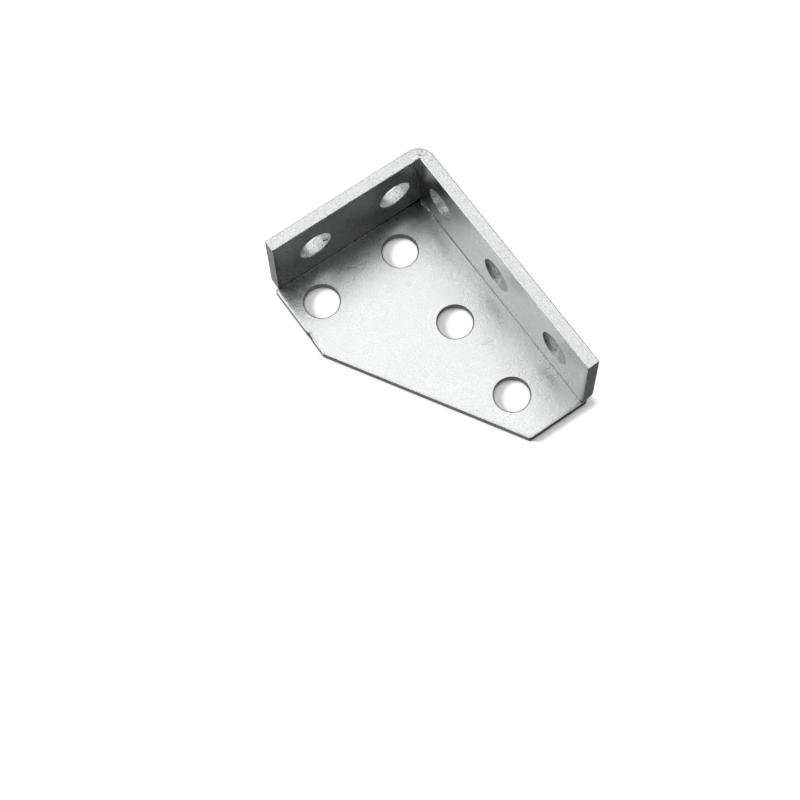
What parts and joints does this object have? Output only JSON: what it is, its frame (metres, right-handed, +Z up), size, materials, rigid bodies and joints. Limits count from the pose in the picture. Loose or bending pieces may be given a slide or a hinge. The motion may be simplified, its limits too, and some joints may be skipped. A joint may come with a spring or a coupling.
{
  "type": "strut angle fitting",
  "caption": "Welded strut angle fitting: a flat bar bent to a right angle stands on a gusset base plate, with bolt holes in both flanges and the base.",
  "frame": {"origin": "axis of the base plate's corner hole, at the plate's underside", "axes": "+X along the long flange away from the bend, -Y along the short flange, +Z up the flanges from the base"},
  "size_m": [0.1151, 0.077, 0.0381],
  "materials": {
    "plated_strip": "bright zinc plating over rolled bar",
    "plated_plate": "bright zinc plating over sheared plate",
    "plated_weld": "zinc plating over weld metal"
  },
  "bodies": {
    "root": {"bent_strip": "plated_strip", "base_plate": "plated_plate", "long_weld": "plated_weld", "short_weld": "plated_weld"}
  },
  "joints": []
}
